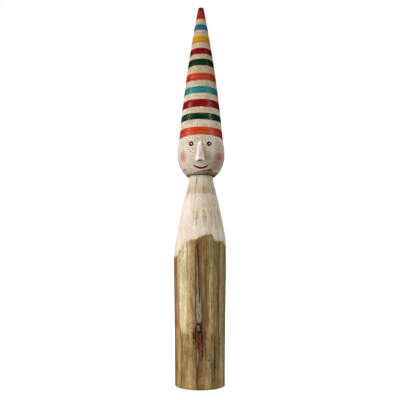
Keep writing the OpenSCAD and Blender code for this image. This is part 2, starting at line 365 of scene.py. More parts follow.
# Bare wood: two tones, fine grain and pores
def makeBareWoodGroup():
    group, ins = newGroup("bareWood", {"Vector": (0.0, 0.0, 0.0), "Light": "d9c9b3", "Deep": "bcaa90",
                                       "Fine": 600.0, "Coarse": 90.0, "Strength": 0.3})
    broad = grain(ins["Vector"], ins["Coarse"], 9.0, 3.0, 0.3, 0.7)
    fine = grain(ins["Vector"], ins["Fine"], 30.0, 4.0, 0.3, 0.7)
    pores = grain(ins["Vector"], 1900.0, 210.0, 1.0, 0.64, 0.72)
    colour = blend((broad * 0.6 + fine * 0.4) * ins["Strength"], ins["Light"], ins["Deep"])
    colour = blend(pores * 0.25, colour, ins["Deep"])
    return closeGroup(group, Color=colour, Roughness=ramped(fine, 0.0, 1.0, 0.6, 0.78), Height=fine - pores)


def bareWood(place, light, deep, fine, coarse, strength):
    return useGroup(bareWoodGroup, place, ("Color", "Roughness", "Height"), Light=light, Deep=deep,
                    Fine=fine, Coarse=coarse, Strength=strength)


# Brushed paint: bristle streaks round the hat, thin places and a little wear
def makePaintGroup():
    group, ins = newGroup("brushedPaint", {"Vector": (0.0, 0.0, 0.0), "Paint": "bc5959", "Thin": "cb957c",
                                           "Deep": "7c0000", "Streaks": 0.5, "Gloss": 0.35})
    place, streaks = ins["Vector"], ins["Streaks"]
    hairs = grain(place, 34.0, 1500.0, 2.0, 0.3, 0.7)
    drags = grain(place, 26.0, 620.0, 2.0, 0.4, 0.62)
    bristles = hairs * 0.3 + drags * 0.7
    loads = grain(place, 45.0, 330.0, 3.0, 0.35, 0.75)
    bare = grain(place, 130.0, 900.0, 4.0, 0.68, 0.76)
    laps = grain(place, 62.0, 150.0, 3.0, 0.42, 0.62)
    colour = blend(bristles * streaks, ins["Paint"], ins["Deep"])
    colour = blend(laps * (streaks * 0.4), colour, ins["Deep"])
    colour = blend(loads * (streaks * 0.5), colour, ins["Thin"])
    colour = blend(bare * 0.5, colour, ins["Thin"])
    return closeGroup(group, Color=colour, Roughness=ins["Gloss"] + bristles * 0.14, Height=bristles)


grainGroup = makeGrainGroup()
spotGroup = makeSpotGroup()
streakGroup = makeStreakGroup()
bareWoodGroup = makeBareWoodGroup()
paintGroup = makePaintGroup()
print("shader groups made")


logForm = {
    "footRadius": 36.6,      # mean radius at the foot
    "roundRadius": 38.8,     # mean radius where the shoulder starts
    "usualRadius": 39,       # for placing marks on the round
    "shapeRadius": 38.9,     # mean of roundShape
    "shoulderLow": 181,      # lowest start of the shoulder
    "shoulderHigh": 309,     # where the straight neck starts
    "shoulderRadius": 42.2,
    "shoulderBelly": 3,
    "neckRadius": 18.9,
    "ledge": 287.6,          # the knife's last step: the neck's stains end there
    "middle": -1.9,          # the trunk's own middle on the X axis
    "footWear": 2.2,
    "scar": (94.2, 208.5),   # lower and upper end
    "knotTurn": -3.2,
    "knotHeight": 87.6,
    "boreRadius": 6.05,
    "boreDepth": 25,
    "sides": 280,
    "frontShare": 0.45,      # how much closer the columns stand at the front
    # height bands and the gap between rings in each
    "bands": [(2.4, 60, 1.7), (60, 128, 0.75), (128, 196, 1.4), (196, 234, 0.9), (234, 266, 0.8),
              (266, neckTop, 1.3)],
}

# radius of the debarked round about its own middle, by turn from the front
roundShape = [(-180, 36.5), (-166, 37.3), (-150, 39.4), (-126, 39.3), (-106, 39.5), (-87, 40.2),
              (-60, 40.4), (-49, 38.9), (-40, 38.3), (-29, 37.6), (-20, 37.8), (-6, 37.8), (1, 37.7),
              (9, 37.6), (20, 37.7), (27, 38.0), (35, 39.5), (43, 39.95), (59, 40.0), (73, 41.1), (90, 40.1),
              (112, 39.0), (135, 40.0), (152, 38.9), (166, 37.2), (180, 36.5)]

# long openings in the round: turn below and above, lower and upper end, half width, depth
trunkCracks = [((-1.9, -4.8), 138, 209, 0.85, 2.0), ((-1.0, -1.2), 122, 148, 0.75, 1.8),
               ((35.8, 35.2), 12, 73, 0.55, 1.7), ((-112, -109), 8, 96, 1.2, 2.6),
               ((151, 154), 60, 172, 1.0, 2.2)]
greySlit = ((-6.1, -5.7), 35.5, 60, 1.5)
# the drying checks that run down from the top of the neck, in front and behind
neckChecks = [((-21.5, -17), neckTop - 29, neckTop + 27, 0.8), ((163, 168), neckTop - 46, neckTop + 40, 0.9)]
# turn, height, radius
wormHoles = [(21, 41.5, 0.75), (16.5, 29, 0.6), (35.6, 31, 0.9), (-64, 122, 0.7), (96, 64, 0.8),
             (128, 118, 0.6), (-141, 44, 0.8)]
# columns of torn grain in the sharpened wood: turn, half width
tornColumns = [(-21, 1.0), (-12, 1.3), (7.5, 1.2), (13, 0.8), (28, 1.0), (42, 0.8), (57, 1.3), (84, 1.2),
               (118, 1.5), (147, 1.1), (-158, 1.4), (-126, 1.1), (-92, 0.9)]
# the healed scar's middle line and half width, by height
scarCentre = [(92, -3.3), (106, -3.2), (118, -3.7), (134, -4.6), (150, -6.4), (210, -8.0)]
scarHalf = [(96, 3.5), (104, 4.6), (118, 4.6), (132, 3.9), (144, 2.4), (170, 1.9), (204, 1.3)]


def naturalRadius(turn, z):
    mean = mix(logForm["footRadius"], logForm["roundRadius"], min(z / logForm["shoulderLow"], 1))
    lobes = eased(roundShape, turn) - logForm["shapeRadius"]
    radius = mean + lobes * mix(0.6, 1, ease(z, 40, 185))
    x, y = around(turn, radius)
    radius += 0.34 * rough(x, y, z, 15, 170) + 0.2 * rough(x, y, z, 4.6, 75, 1)
    radius += 0.09 * rough(x, y, z, 1.7, 24, 2)
    wear = logForm["footWear"] + 0.8 * rough(x, y, 0, 9, 9, 3)
    if z < wear:
        radius -= wear * (1 - math.sqrt(max(0, 1 - (1 - z / wear) ** 2)))
    return radius


def opened(turn, z, radius, turns, low, high, half):
    # share 0 to 1 into a long opening with pointed ends
    share = (z - (low + high) / 2) / (high - low) * 2
    if abs(share) >= 1:
        return 0
    centre = mix(*turns, (share + 1) / 2)
    half *= (1 - share * share) ** 0.6
    away = abs(arcFrom(turn, centre, radius) + 0.5 * rough(0, 0, z, 9, 9, 4))
    return 1 - ease(away, half * 0.45, half + 0.25)


def scarAt(turn, z, radius):
    # signed distance out of the healed scar, negative inside
    low, high = logForm["scar"]
    if z < low or z > high:
        return 9
    away = abs(arcFrom(turn, eased(scarCentre, z), radius) + 0.35 * rough(0, 0, z, 7, 7, 5))
    return away - eased(scarHalf, z) * math.sqrt(min(1, (z - low) / 4.5)) * math.sqrt(min(1, (high - z) / 14))


def shapeKnot(turn, z, radius):
    # the healed knot: a raised rim in a sunken ring whose groove is blackest to the right and below
    across, up = arcFrom(turn, logForm["knotTurn"], radius), z - logForm["knotHeight"]
    away = math.hypot(across + 0.35 * up * ease(-up, 0, 4), up / (1.9 if up < 0 else 1.6))
    groove = math.exp(-((away - 3.2) / 0.9) ** 2)
    black = mix(0.3, 1, ease(across * 0.8 - up * 0.35 + 1.5 * rough(turn, 0, z, 20, 3, 16), -1, 2))
    add = 0.9 * math.exp(-((away - 1.5) / 0.7) ** 2) - 1.3 * groove
    return add, math.exp(-((away - 1.5) / 0.8) ** 2), max(groove * black, 0.7 * (1 - ease(away, 0.2, 0.9)))


def shapeTrunk(turn, z, radius):
    # marks in the natural round: what they add to the radius, and how grey and how dark they are
    add = grey = dark = 0
    if 88 < z < 215:
        away = scarAt(turn, z, radius)
        add -= 1.5 * (1 - ease(away, -1.1, 0.35))
        add += 0.55 * ease(away, -0.3, 0.7) * (1 - ease(away, 0.9, 3.4))
        grey = 1 - ease(away, -0.75, -0.05)
        dark = (1 - ease(abs(away + 0.1), 0.1, 0.7)) * (0.36 + 0.3 * rough(turn, 0, z, 40, 16, 15))
    for *crack, depth in trunkCracks:
        share = opened(turn, z, radius, *crack)
        add -= depth * share
        dark = max(dark, share)
    slit = opened(turn, z, radius, *greySlit)
    add -= 0.9 * slit
    grey = max(grey, 0.85 * slit)
    if 70 < z < 100:
        knotAdd, knotGrey, knotDark = shapeKnot(turn, z, radius)
        add, grey, dark = add + knotAdd, max(grey, knotGrey), max(dark, knotDark)
    for holeTurn, holeZ, size in wormHoles:
        if abs(z - holeZ) < 4:
            away = math.hypot(arcFrom(turn, holeTurn, radius), z - holeZ)
            share = 1 - ease(away, size * 0.5, size + 0.7)
            add -= 1.6 * share
            dark = max(dark, share)
    return add, grey, dark


def coneRadius(z):
    # of the sharpened shoulder before its marks
    share = (z - logForm["shoulderLow"]) / (logForm["shoulderHigh"] - logForm["shoulderLow"])
    return bellied(logForm["shoulderRadius"], logForm["neckRadius"], logForm["shoulderBelly"], share)


def tornAt(turn, x, y, z, radius):
    # how torn the sharpener left the grain
    torn = 0
    for centre, half in tornColumns:
        away = abs(arcFrom(turn, centre, radius) + 0.5 * rough(x, y, z, 5, 5, 9))
        low = 234 + 3 * rough(centre, 0, 0, 1.3, 1, 10)
        high = 262 + 3 * rough(centre, 5, 0, 1.3, 1, 10)
        inside = ease(z, low, low + 2) * (1 - ease(z, high - 3, high))
        beat = 0.5 + 0.5 * math.cos((z + 1.2 * rough(x, y, z, 8, 8, 11)) * 2 * math.pi / 3.3 + centre)
        torn = max(torn, (1 - ease(away, half * 0.5, half + 0.5)) * inside * (0.3 + 0.7 * beat ** 2))
    return torn * (0.65 + 0.6 * rough(x, y, z, 2.5, 4, 14))


def shoulderRadius(turn, z):
    # what the sharpener leaves, and how torn the grain is
    radius, ledge = max(coneRadius(z), logForm["neckRadius"]), logForm["ledge"]
    x, y = around(turn, radius)
    radius += 0.22 * rough(x, y, z, 6.5, 130, 6) + 0.1 * rough(x, y, z, 2.2, 60, 7)
    radius += 0.75 * ease(-turn, 48, 60) * (1 - ease(-turn, 100, 114)) * (1 - ease(z, 205, 245))
    step = ease(z + 0.8 * rough(x, y, 0, 6, 6, 8), ledge, ledge + 1.2)
    radius += 0.28 * step * (1 - ease(abs(turn + 8), 30, 55))
    torn = tornAt(turn, x, y, z, radius) if 226 < z < 270 else 0
    # chips out of the edge at the neck's end grain
    chip = ease(rough(x, y, 0, 3.4, 3, 12), 0.12, 0.45) * ease(z, neckTop - 3.2, neckTop - 0.2)
    return radius - 0.42 * torn - 1.1 * chip, torn


def placeOnLog(x, y, z):
    # a spun point is at its share (in hundredths) of the finished radius
    share = math.hypot(x, y) / 100
    turn = math.atan2(x, -y)
    turn -= logForm["frontShare"] * math.sin(turn)
    away = Vector((math.sin(turn), -math.cos(turn)))
    turn = math.degrees(turn)
    if share < 0.1:
        return *(away * share * 100), z, 1, 0, 0, 0
    # turn about the trunk's own middle
    middle, usual = logForm["middle"], logForm["usualRadius"]
    ownTurn = frontTurn(usual * away.x - middle, usual * away.y)
    own = naturalRadius(ownTurn, z)
    add, grey, dark = shapeTrunk(ownTurn, z, own)
    offset = middle * away.x
    natural = offset + math.sqrt(own * own - middle * middle + offset * offset)
    cut, torn = shoulderRadius(turn, z) if z > 150 else (99, 0)
    over = natural - cut
    if over > 0:
        check = max(opened(turn, z, cut, *mark) for mark in neckChecks)
        radius, grey, dark = cut - 1.2 * check, 0, 0.3 * check
    else:
        fade = ease(-over, 0, 0.25)
        radius, grey, dark, torn = natural + add * fade, grey * fade, dark * fade, 0
    return *(away * radius * share), z, over, grey, dark, torn


def makeLog(material):
    bore, floor = logForm["boreRadius"], neckTop - logForm["boreDepth"]
    outline = [(0, floor), (bore, floor), (bore, neckTop), (60, neckTop), (97, neckTop)]
    heights = [0, 0.25, 0.7, 1.4]
    for low, high, gap in logForm["bands"]:
        heights += steps(low, high, gap)[:-1]
    heights.append(neckTop - 0.35)
    outline += [(100, z) for z in reversed(heights)]
    outline += [(80, 0), (55, 0), (30, 0), (12, 0), (0, 0)]
    bm = turned(outline, logForm["sides"])
    sculpt(bm, placeOnLog, ("over", "grey", "dark", "torn"))
    return finishMesh(bm, "logBody", material)


logWood = {
    "tones": {"cream": "e3d4b0", "straw": "c8b080", "wheat": "bba373", "tan": "b29866", "honey": "ac8a58",
              "olive": "9c895b", "paleOlive": "b5a070", "drab": "977a4a", "brown": "8e6b41",
              "umber": "84613b", "russet": "7b5735"},
    # where each tone lies, by turn from the front: above and below the healed knot
    "upper": [(-180, "tan"), (-158, "umber"), (-140, "straw"), (-122, "drab"), (-104, "tan"), (-88, "drab"),
              (-72, "brown"), (-60, "brown"), (-54, "tan"), (-47, "cream"), (-36, "cream"), (-29, "straw"),
              (-22, "wheat"), (-16, "tan"), (-10, "umber"), (-4, "russet"), (3, "umber"), (9, "drab"),
              (16, "brown"), (23, "olive"), (31, "olive"), (38, "olive"), (46, "drab"), (55, "paleOlive"),
              (66, "olive"), (85, "tan"), (105, "straw"), (124, "drab"), (142, "tan"), (160, "umber"),
              (180, "tan")],
    "lower": [(-180, "drab"), (-145, "umber"), (-110, "honey"), (-85, "umber"), (-70, "drab"), (-61, "honey"),
              (-55, "tan"), (-48, "umber"), (-40, "honey"), (-30, "tan"), (-22, "wheat"), (-12, "brown"),
              (-6, "russet"), (1, "umber"), (9, "brown"), (17, "paleOlive"), (26, "tan"), (31, "drab"),
              (37, "drab"), (46, "drab"), (58, "paleOlive"), (75, "drab"), (100, "honey"), (130, "umber"),
              (155, "tan"), (180, "drab")],
    "changeHeight": (0.08, 0.106),
    # layers of grain: waves per metre across and along, spread, share
    "grain": [(1000.0, 12.0, 0.14, 0.19), (430.0, 14.0, 0.11, 0.3), (200.0, 9.0, 0.14, 0.19),
              (420.0, 150.0, 0.12, 0.18), (140.0, 80.0, 0.13, 0.14)],
    "grainPale": (1.6, 1.59, 1.54, 1),
    "grainDark": (0.45, 0.39, 0.29, 1),
    "fleck": "4f361d",
    "rim": "a87c46",
    "cutLight": "f5eada",
    "cutDeep": "d9c3a2",
    "cutEdge": "cfae7e",
    "torn": "ad7341",
    "greyLight": "b1a890",
    "greyDeep": "7f7660",
    "greyFleck": "55503f",
    "dark": "2c1a0d",
    "endLight": "c2a473",
    "endDeep": "8a6a41",
    "endSplit": "3c2917",
    "endSawn": "6f5a40",
}

# stains on the round: turn, height, reach across and up, colour, strength
logStains = [
    (-9, 52, 14, 17, "6a4a28", 0.5),
    (9, 56, 8, 19, "5f3d1c", 0.7),
    (19, 55, 7, 13, "6f5530", 0.2),
    (-3.0, 76, 15, 27, "582a12", 1.0),
    (12, 82, 7, 20, "6b4a28", 0.55),
    (1.0, 83, 4.2, 11, "421d0a", 0.75),
    (-9.5, 75, 5.4, 14, "431c0a", 1.0),
    (-2.0, 92, 7, 9, "3f1d0c", 0.7),
    (-3.5, 80, 4.5, 4, "1c0d06", 0.85),
    (-5.0, 70, 3.4, 9, "7c3d20", 0.7),
    (1.5, 68, 2.4, 8, "3a1c0d", 0.5),
    (3, 12, 6.5, 14, "b59a68", 0.95),
    (-12, 89, 3.4, 5, "7a4a26", 0.6),
    (25.5, 88, 2.2, 4, "9c6a3a", 0.7),
    (-60, 90, 3.2, 8, "a0204c", 0.85),
    (-58, 84, 2.4, 5, "b0405c", 0.6),
    (30, 74, 3.6, 10, "5d4422", 0.9),
    (40, 64, 10, 16, "5d4526", 0.35),
    (48, 68, 5, 9, "54401f", 0.35),
    (-30, 74, 10, 9, "a0824c", 0.9),
    (-62, 80, 6, 14, "bba373", 0.6),
    (-22, 118, 7, 24, "a08450", 0.55),
    (-38, 192, 13, 36, "dccfae", 0.5),
    (10, 178, 3.4, 16, "a3875a", 0.5),
    (31, 166, 5.5, 48, "b6a680", 0.65),
    (-62, 118, 5, 16, "c2ab7c", 0.5),
    (-17, 51, 4, 12, "8f6c36", 0.5),
    (-62, 30, 6, 14, "8a6b42", 0.5),
    (42, 118, 7, 20, "775f36", 0.4),
    (3, 33, 4.5, 8, "a88a58", 0.5),
    (33, 12, 6, 10, "85683a", 0.55),
    (21.5, 82, 6, 16, "c0a05c", 0.5),
    (-31, 53, 8, 13, "8a6a3c", 0.65),
    (-40, 56, 8, 2.4, "c19a6b", 0.5),
    (-37, 28, 3.2, 4, "75633f", 0.5),
    (-24, 8, 10, 14, "c2a46e", 0.5),
    (17, 8, 8, 18, "cfb27a", 0.7),
    (-16, 8, 6, 14, "b09566", 0.5),
    (-12, 218, 9, 12, "9c6c3c", 0.55),
    (2, 222, 7, 10, "8a6136", 0.5),
    (46, 208, 6, 16, "6f5028", 0.3),
    (12, 33, 3, 5, "6f6440", 0.4),
    (70, 12, 9, 12, "5a4a2e", 0.3),
    (-118, 132, 7, 18, "5f4429", 0.6),
    (134, 50, 8, 16, "6a4c2c", 0.6),
    (172, 104, 6, 22, "6b5433", 0.5),
]

# stains on the sharpened wood, and one patch of painted light: turn, height, reach across and up, colour,
# strength
shoulderStainsAndLight = [
    (-14, 249, 5, 11, "cda177", 0.7),
    (9, 251, 5.5, 12, "cda177", 0.75),
    (35, 252, 12, 12, "cfae86", 0.15),
    (58, 254, 6, 16, "b8946a", 0.4),
    (24, 268, 10, 13, "d3b48c", 0.45),
    (46, 240, 8, 7, "c2a479", 0.3),
    # painted light: a near-white patch that lifts the shade under the head on the right of the neck's top
    (36, 308, 22, 7, "fff5e8", 0.8),
    (-20, 293, 24, 9, "d6b793", 0.6),
    (8, 268, 14, 5, "dcc19a", 0.5),
    (50, 274, 9, 9, "c9a880", 0.5),
    (20, 293, 16, 9, "d2b08a", 0.6),
    (-30, 228, 11, 5, "dcc7a0", 0.4),
    (150, 270, 9, 16, "cfae86", 0.5),
    (-120, 262, 8, 14, "d0ae86", 0.45),
]

# runs up the sharpened wood: turn, lower and upper end, half width, colour, strength
shoulderStreaks = [
    (-56, 276, 301, 3.6, "c0905f", 0.85),
    (-40, 268, 301, 1.2, "cda37c", 0.6),
    (-31, 268, 299, 1.0, "cda37c", 0.6),
    (-20, 258, 314, 1.1, "b98a70", 0.55),
    (-9, 268, 297, 0.9, "cda37c", 0.6),
    (-2, 268, 300, 1.1, "c99c72", 0.7),
    (9, 274, 302, 2.2, "bd8c5e", 0.8),
    (19, 276, 300, 1.6, "bd8c5e", 0.8),
    (30, 268, 301, 1.0, "cfaa82", 0.6),
    (54, 276, 299, 3.2, "b4844f", 0.75),
    (-11, 232, 286, 1.0, "dcc09c", 0.6),
    (6, 236, 280, 1.1, "dcc3a0", 0.5),
    (20, 232, 284, 1.3, "d6b992", 0.25),
    (158, 268, 300, 2.6, "c8986c", 0.7),
    (-128, 268, 302, 3.0, "c99a6e", 0.7),
]

# runs up the round: turn, lower and upper end, half width, colour, strength
logStreaks = [
    (24.2, 68, 170, 2.3, "dcc284", 0.8),
    (16.5, 84, 150, 1.8, "80602f", 0.5),
    (7.5, 84, 132, 2.4, "6c4225", 0.55),
    (12.5, 96, 190, 1.0, "6b4a2a", 0.5),
    (31.5, 100, 230, 0.9, "6e5634", 0.5),
    (-5.5, 28, 66, 3.4, "6d4224", 0.7),
    (-6.0, 4, 44, 1.8, "6a4023", 0.7),
    (-31.0, 26, 62, 1.3, "6e5431", 0.55),
    (-22.0, 6, 52, 0.8, "7d6038", 0.4),
    (-39.0, 2, 44, 1.2, "7a5a34", 0.5),
    (-46.0, 30, 78, 1.0, "86633a", 0.4),
    (-26.0, 30, 70, 1.0, "bf9f6c", 0.5),
    (43.0, 96, 212, 1.3, "5f4025", 0.45),
    (47.5, 20, 226, 0.8, "6b5330", 0.5),
    (60.0, 2, 64, 3.5, "c6b285", 0.5),
    (35.2, 12, 74, 1.5, "60432a", 0.4),
    (33.0, 130, 214, 1.6, "77603a", 0.5),
    (-30.0, 100, 222, 0.7, "9a8152", 0.5),
    (-41.0, 90, 214, 0.6, "a58c5a", 0.5),
    (-52.5, 84, 200, 0.8, "8d6c40", 0.6),
    (-69, 2, 60, 1.4, "83532f", 0.6),
    (-12.5, 100, 214, 1.5, "8a6236", 0.5),
    (72, 60, 214, 2.2, "5a3f22", 0.5),
    (106, 30, 190, 1.4, "694a2a", 0.6),
    (149, 10, 120, 2.2, "6f5431", 0.5),
    (-97, 40, 176, 1.6, "6e4e2c", 0.6),
    (-150, 16, 150, 2.4, "745833", 0.5),
]


def onLog(turn, z):
    x, y = around(turn, logForm["usualRadius"])
    return (logForm["middle"] + x) * mm, y * mm, z * mm


def onShoulder(turn, z):
    return Vector((*around(turn, coneRadius(z)), z)) * mm


def makeLogWood():
    made, place = newMaterial("logWood")
    look = logWood
    x, y, z = split(place)
    own = x - logForm["middle"] * mm
    over, grey, dark, torn = [attribute(place, name) for name in ("over", "grey", "dark", "torn")]

    # grain in several widths, bent a little so that its lines sway
    bent = vectorMaths("MULTIPLY_ADD", fuzz(place, 24.0, 1.0, "Color"), (0.006, 0.006, 0.0), place)
    layers = [grain(bent, across, run, 3.0, 0.5 - spread, 0.5 + spread)
              for across, run, spread, share in look["grain"]]
    fibres, streaks, bands = layers[:3]
    tone = sum(layer * widths[3] for layer, widths in zip(layers, look["grain"]))
    streaky = ramped(streaks, 0.0, 1.0, 0.55, 1.1)

    # columns of colour that wander a little on their way up
    slow = grain(place, 45.0, 6.0, 2.0, 0.0, 1.0)
    quick = grain(place, 190.0, 18.0, 3.0, 0.0, 1.0)
    turn = turnShare(own, y) + (slow - 0.5) * 0.03 + (quick - 0.5) * 0.022
    lower, upper = [ramp(turn, [(at, look["tones"][name]) for at, name in look[part]])
                    for part in ("lower", "upper")]
    colour = blend(ramped(z + quick * 0.02, *look["changeHeight"]), lower, upper)
    colour = stained(colour, place, logStains, onLog, 0.6, 0.9, 260.0, lambda height: streaky)
    colour = streaked(colour, addNode(place.tree, "CombineXYZ", {0: own, 1: y, 2: z}), logStreaks, 0.006)

    # curly grain below the crest of the edge
    curled = vectorMaths("MULTIPLY_ADD", fuzz(place, 70.0, 2.0, "Color"), (0.012, 0.012, 0.004), place)
    curls = grain(curled, 520.0, 70.0, 2.0, 0.4, 0.6)
    crest = spot(place, onLog(20, 188), (12, 12, 50), 0.6, 0.3, 60.0)
    tone = (curls - 0.5) * crest * 0.35 + tone
    colour = blend(1.0, colour, blend(tone, look["grainPale"], look["grainDark"]), "MULTIPLY")
    flecks = grain(place, 1100.0, 90.0, 2.0, 0.6, 0.7)
    colour = blend(flecks * 0.45, colour, look["fleck"])
    colour = blend(ramped(over, -0.7, -0.03) * 0.25, colour, look["rim"])

    # the sharpened wood
    cut = bareWood(bent, look["cutLight"], look["cutDeep"], 330.0, 120.0, 0.8)[0]
    ledge = ramped(quick * 0.003 + z, logForm["ledge"] * mm, (logForm["ledge"] + 2) * mm)
    stainKept, streakKept = streaks * 0.6 + 0.4, streaks * 0.5 + 0.5
    cut = stained(cut, place, shoulderStainsAndLight, onShoulder, 0.7, 0.8, 260.0,
                  lambda height: stainKept * ledge if height > logForm["ledge"] else stainKept)
    cut = streaked(cut, place, shoulderStreaks, 0.002, 0.0016,
                   lambda high: streakKept * ledge if 296 < high < 310 else streakKept)
    # dashes of torn grain, and the tan bark line along the edge of the cut
    dashes = grain(bent, 420.0, 170.0, 2.0, 0.55, 0.68)
    zone = band(z, 0.229, 0.236, 0.256, 0.268)
    cut = blend(dashes * zone * 0.3, cut, look["torn"])
    cut = blend(ramped(streaks * 0.5 + over, 0.15, 1.1, 0.5, 0.0), cut, look["cutEdge"])
    cut = blend(torn * 0.8, cut, look["torn"])
    cutMask = ramped(over + (quick - 0.5) * 0.5, -0.22, 0.2)
    colour = blend(cutMask, colour, cut)

    # grey healed wood and dark openings
    weathered = grain(place, 420.0, 130.0, 3.0, 0.4, 0.6)
    clouds = grain(place, 120.0, 60.0, 4.0, 0.35, 0.7)
    silver = blend(weathered * 0.7 + clouds * 0.3, look["greyLight"], look["greyDeep"])
    silver = blend(flecks * 0.6, silver, look["greyFleck"])
    colour = blend(grey, colour, silver)
    colour = blend(dark * 0.92, colour, look["dark"])

    # end grain under the foot: growth rings, splits and saw marks
    radius = vectorMaths("LENGTH", addNode(place.tree, "CombineXYZ", {0: own, 1: y}), out="Value")
    uneven = fuzz(place, 45.0, 2.0)
    growth = (radius * 2600.0 + uneven * 14.0).maths("SINE")
    spoke = (turn * (2 * math.pi * 7) + uneven * 5.0).maths("SINE")
    sawing = addNode(place.tree, "VectorRotate", {"Vector": place, "Angle": 0.6}, rotation_type="Z_AXIS")
    end = blend(ramped(growth, -0.6, 1.0, 0.0, 0.75), look["endLight"], look["endDeep"])
    end = blend(ramped(spoke, 0.965, 1.0, 0.0, 0.85), end, look["endSplit"])
    end = blend(grain(sawing, 25.0, 1.0, 2.0, 0.3, 0.7) * 0.3, end, look["endSawn"])
    colour = blend(ramped(z, 0.00012, 0.0005, 1.0, 0.0), colour, end)

    roughness = fibres * 0.16 + 0.5 + cutMask * 0.14 + dark * 0.2
    return finishMaterial(made, colour, roughness, fibres * -0.6 + bands - flecks, 0.45, 0.0004, specular=0.2)


print("log recipes ready")
logPiece = makeLog(makeLogWood())
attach(logPiece, "root")
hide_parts("log_body")


headForm = {
    "radius": 37.1,          # at its widest
    "wideHeight": 34.3,      # of the widest place above the head's foot
    "footRadius": 21.7,
    "topRadius": 33.7,
    "faceTurn": -2.4,        # of the nose, from the front towards +X
    "sides": 300,
    "ringGap": 0.65,
}


def headRadius(up):
    # two quarter ellipses that meet at the widest place
    wide = headForm["wideHeight"]
    if up < wide:
        share, end = (wide - up) / wide, headForm["footRadius"]
    else:
        share, end = (up - wide) / (brimLow - headLow - wide), headForm["topRadius"]
    return headForm["radius"] * math.sqrt(1 - (1 - (end / headForm["radius"]) ** 2) * min(share, 1) ** 2)


def placeOnHead(x, y, z):
    # a little out of round, with lathe rings and the pimples that priming leaves
    radius = math.hypot(x, y)
    if radius < 8 or z > brimLow - 0.01 or z < headLow + 0.01:
        return x, y, z
    swell = 0.16 * rough(x, y, z, 17, 17, 20) + 0.05 * rough(x, y, z, 60, 1.6, 21)
    swell += 0.07 * ease(rough(x, y, z, 1.7, 1.7, 22), 0.1, 0.5)
    away = (radius + swell * ease(z, headLow, headLow + 2)) / radius
    return x * away, y * away, z


def makeHead(material):
    bore, depth = logForm["boreRadius"], logForm["boreDepth"]
    outline = [(0, headLow + depth), (bore, headLow + depth), (bore, headLow), (14, headLow),
               (headForm["footRadius"] - 0.9, headLow)]
    outline += [(headRadius(up) - 0.25 * (1 - ease(up, 0, 0.7)), headLow + up)
                for up in steps(0.25, brimLow - headLow - 0.2, headForm["ringGap"])]
    outline += [(headForm["topRadius"] - 0.4, brimLow), (20, brimLow), (bore, brimLow),
                (bore, brimLow - depth), (0, brimLow - depth)]
    bm = turned(outline, headForm["sides"])
    sculpt(bm, placeOnHead)
    return finishMesh(bm, "turnedHead", material)


def onHead(turn, up):
    return Vector((*around(turn, headRadius(up)), headLow + up)) * mm


def faced(x, y, z):
    # turned to where the face looks
    angle = math.radians(headForm["faceTurn"])
    return x * math.cos(angle) - y * math.sin(angle), x * math.sin(angle) + y * math.cos(angle), z


headWood = {
    "light": "f0e4d2",
    "deep": "cbb493",
    "ring": "b99a70",
    "wash": "f1e9dc",
    "blush": "c95852",
    # arcs of the growth rings: turn and height of their middle, gap between them, strength
    "arcs": [(30, 4, 3.4, 0.42), (-44, 2, 3.8, 0.4), (150, 6, 3.6, 0.4), (-140, 44, 4.0, 0.35)],
    "arc": "a98d5e",
    "stain": "836520",
    "stainLine": "4f3a10",
    # upper edge of the chin's stain above the head's foot, and how full it is below, by turn
    "stainHeights": [(-180, 5), (-100, 6), (-66, 9.5), (-55, 9), (-40, 4.5), (-20, 3.5), (-8, 4.2), (4, 5.4),
                     (14, 6.2), (22, 7.6), (28, 8.3), (34, 7.2), (41, 5.2), (50, 3.8), (60, 4.4), (100, 6),
                     (180, 5)],
    "stainFill": [(-180, 0.4), (-74, 0.2), (-60, 0.5), (-46, 0.2), (-25, 0.35), (-8, 0.6), (6, 0.8),
                  (20, 1.0), (34, 1.0), (44, 0.75), (180, 0.4)],
    "stainScale": 16,        # millimetres that the ramp's full value stands for
    "pimple": "fffaf2",
    "pit": "a0845a",
    # grime and painted shade where the head meets the neck and the brim
    "footGrimeAndShade": "443c26",
    "brimGrimeAndShade": "8f7a5a",
}

# stains on the head, and painted shadow beside the nose: turn, height above its foot, reach across and up,
# colour, strength
headStainsAndNoseShadow = [
    (-2, 53, 16, 8, "b89a6c", 0.6),
    (-32, 50, 18, 9, "bfae8e", 0.4),
    (40, 22, 14, 9, "b3a078", 0.5),
    (54, 13, 11, 9, "9a8656", 0.5),
    (38, 9, 9, 6, "8c7845", 0.5),
    # painted shadow: narrow dark lines along the nose's right edge stand in for the shadow that the nose
    # casts
    (3.5, 45, 1.8, 6, "705d3c", 0.75),
    (7.0, 35, 1.9, 8, "6b5838", 0.8),
    (11.0, 25, 2.4, 7, "6f5c3c", 0.6),
    (42, 17.5, 11, 3, "94877c", 0.65),
    (48, 12.5, 9, 2.2, "9c7c3a", 0.6),
    (-60, 8.5, 4, 3.5, "8f7236", 0.6),
    (-22, 42, 9, 9, "cbb28a", 0.4),
    # stain and painted shadow along the nose's right side
    (11, 38, 4, 16, "a58a5c", 0.4),
    (17, 27, 8, 9, "a08650", 0.55),
    (50, 44, 16, 12, "b8a274", 0.5),
    (62, 24, 12, 14, "a8966c", 0.5),
    (30, 14, 14, 6, "b7a27c", 0.5),
    (-26.5, 33.6, 2.5, 2.3, "9c7446", 0.85),
    (-27.2, 33.9, 1.0, 1.0, "fbf8f2", 0.95),
    (-26, 47, 1.6, 1.6, "a9855c", 0.6),
    (120, 22, 20, 16, "c3aa80", 0.5),
    (-135, 40, 18, 12, "c6ab80", 0.5),
    (175, 12, 20, 7, "9c8b66", 0.5),
]


